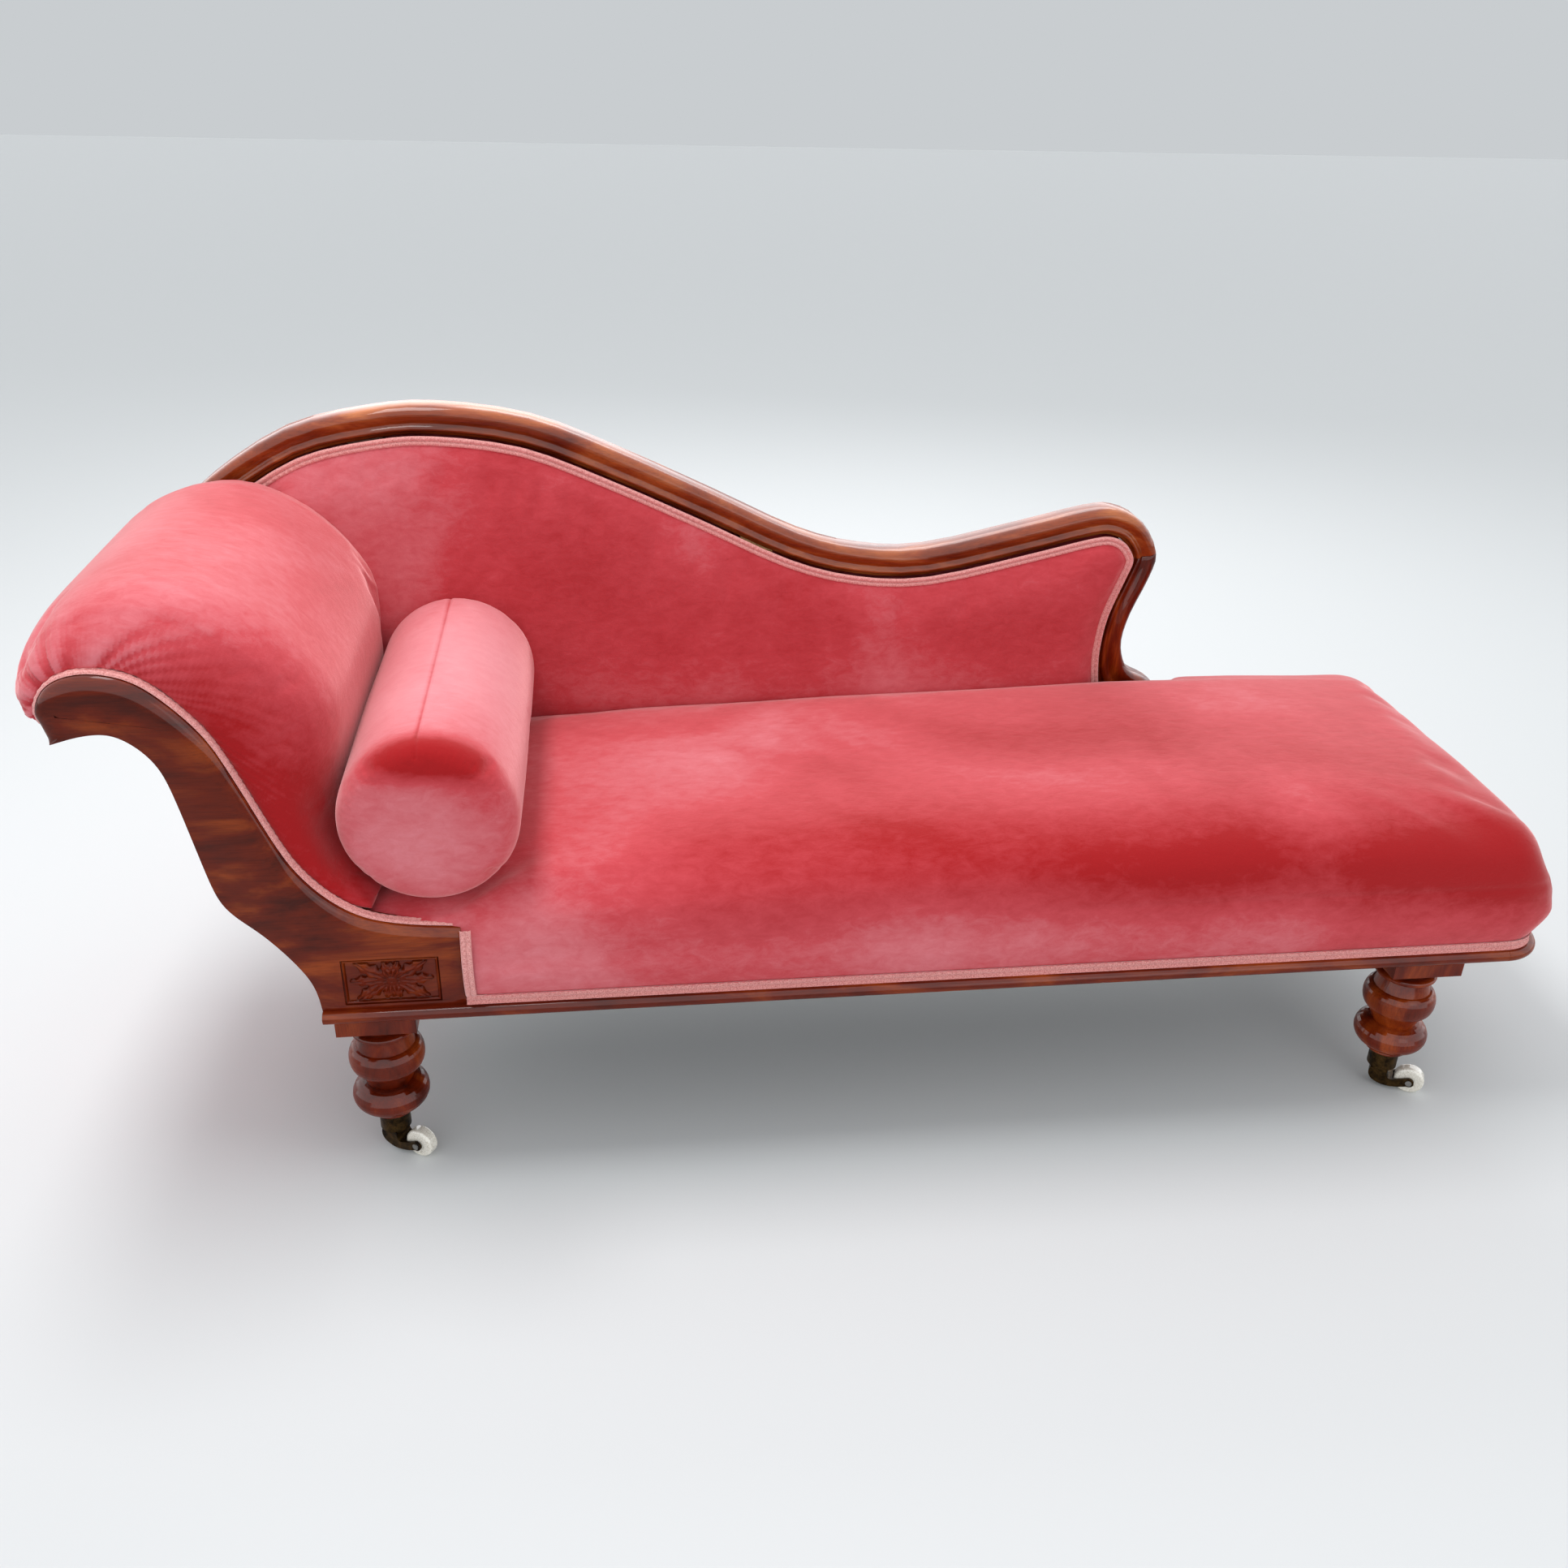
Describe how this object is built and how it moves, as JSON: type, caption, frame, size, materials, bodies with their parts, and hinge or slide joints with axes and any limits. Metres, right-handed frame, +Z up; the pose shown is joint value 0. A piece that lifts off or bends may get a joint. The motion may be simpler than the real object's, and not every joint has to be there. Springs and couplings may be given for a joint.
{
  "type": "fainting couch",
  "caption": "Single-ended upholstered couch with a scrolled head, half-length carved back, loose bolster and turned legs on swivelling castors.",
  "frame": {"origin": "on the floor under the middle of the couch", "axes": "+X along the seat from the scrolled head to the foot, +Y from the open front to the back, +Z up"},
  "size_m": [1.8015, 0.5788, 0.8116],
  "materials": {
    "mahogany": "French polished",
    "beech": "bare sawn",
    "velvet": "short pile",
    "gimp": "woven braid",
    "brass": "aged",
    "ceramic": "white glaze",
    "steel": "turned",
    "spring_wire": "drawn wire",
    "jute": "woven web",
    "hessian": "coarse weave",
    "dust_cloth": "plain weave"
  },
  "bodies": {
    "couch": {"front_rail": "beech", "rear_rail": "beech", "head_rail": "beech", "foot_rail": "beech", "cross_rail": "beech", "corner_blocks": "beech", "frame_dowels": "beech", "seat_moulding_front": "mahogany", "seat_moulding_foot": "mahogany", "leg_front_head": "mahogany", "leg_front_foot": "mahogany", "leg_rear_head": "mahogany", "leg_rear_foot": "mahogany", "castor_cup_front_head": "brass", "castor_cup_front_foot": "brass", "castor_cup_rear_head": "brass", "castor_cup_rear_foot": "brass", "seat_webbing": "jute", "seat_springs": "spring_wire", "seat_hessian": "hessian", "seat_pad": "velvet", "base_cloth": "dust_cloth", "gimp_seat": "gimp", "front_scroll": "mahogany", "back_scroll": "beech", "carved_tablet": "mahogany", "head_top_rail": "beech", "head_lower_rail": "beech", "head_webbing": "jute", "head_pad": "velvet", "head_outer_cloth": "velvet", "gimp_head": "gimp", "back_top_rail": "mahogany", "back_end_post": "mahogany", "back_head_post": "beech", "back_muntin": "beech", "back_bottom_rail": "beech", "back_webbing": "jute", "back_pad": "velvet", "back_outer_cloth": "velvet", "gimp_back": "gimp"},
    "castor_front_head": {"castor_horn_front_head": "brass", "castor_axle_front_head": "steel"},
    "wheel_front_head": {"castor_wheel_front_head": "ceramic"},
    "castor_front_foot": {"castor_horn_front_foot": "brass", "castor_axle_front_foot": "steel"},
    "wheel_front_foot": {"castor_wheel_front_foot": "ceramic"},
    "castor_rear_head": {"castor_horn_rear_head": "brass", "castor_axle_rear_head": "steel"},
    "wheel_rear_head": {"castor_wheel_rear_head": "ceramic"},
    "castor_rear_foot": {"castor_horn_rear_foot": "brass", "castor_axle_rear_foot": "steel"},
    "wheel_rear_foot": {"castor_wheel_rear_foot": "ceramic"},
    "bolster": {"bolster": "velvet"}
  },
  "joints": [
    {"name": "swivel_front_head", "type": "hinge", "parent": "couch", "child": "castor_front_head", "pos_m": [-0.56659, -0.226, 0.0297], "axis": [0, 0, 1], "continuous": true},
    {"name": "roll_front_head", "type": "hinge", "parent": "castor_front_head", "child": "wheel_front_head", "pos_m": [-0.53437, -0.24614, 0.019], "axis": [0.5299, 0.848, 0], "continuous": true},
    {"name": "swivel_front_foot", "type": "hinge", "parent": "couch", "child": "castor_front_foot", "pos_m": [0.733, -0.226, 0.0297], "axis": [0, 0, 1], "continuous": true},
    {"name": "roll_front_foot", "type": "hinge", "parent": "castor_front_foot", "child": "wheel_front_foot", "pos_m": [0.76523, -0.24614, 0.019], "axis": [0.5299, 0.848, 0], "continuous": true},
    {"name": "swivel_rear_head", "type": "hinge", "parent": "couch", "child": "castor_rear_head", "pos_m": [-0.56659, 0.242, 0.0297], "axis": [0, 0, 1], "continuous": true},
    {"name": "roll_rear_head", "type": "hinge", "parent": "castor_rear_head", "child": "wheel_rear_head", "pos_m": [-0.53437, 0.22186, 0.019], "axis": [0.5299, 0.848, 0], "continuous": true},
    {"name": "swivel_rear_foot", "type": "hinge", "parent": "couch", "child": "castor_rear_foot", "pos_m": [0.733, 0.242, 0.0297], "axis": [0, 0, 1], "continuous": true},
    {"name": "roll_rear_foot", "type": "hinge", "parent": "castor_rear_foot", "child": "wheel_rear_foot", "pos_m": [0.76523, 0.22186, 0.019], "axis": [0.5299, 0.848, 0], "continuous": true},
    {"name": "bolster_lift", "type": "slide", "parent": "couch", "child": "bolster", "axis": [0, 0, 1], "range_m": [0, 0.35]}
  ]
}
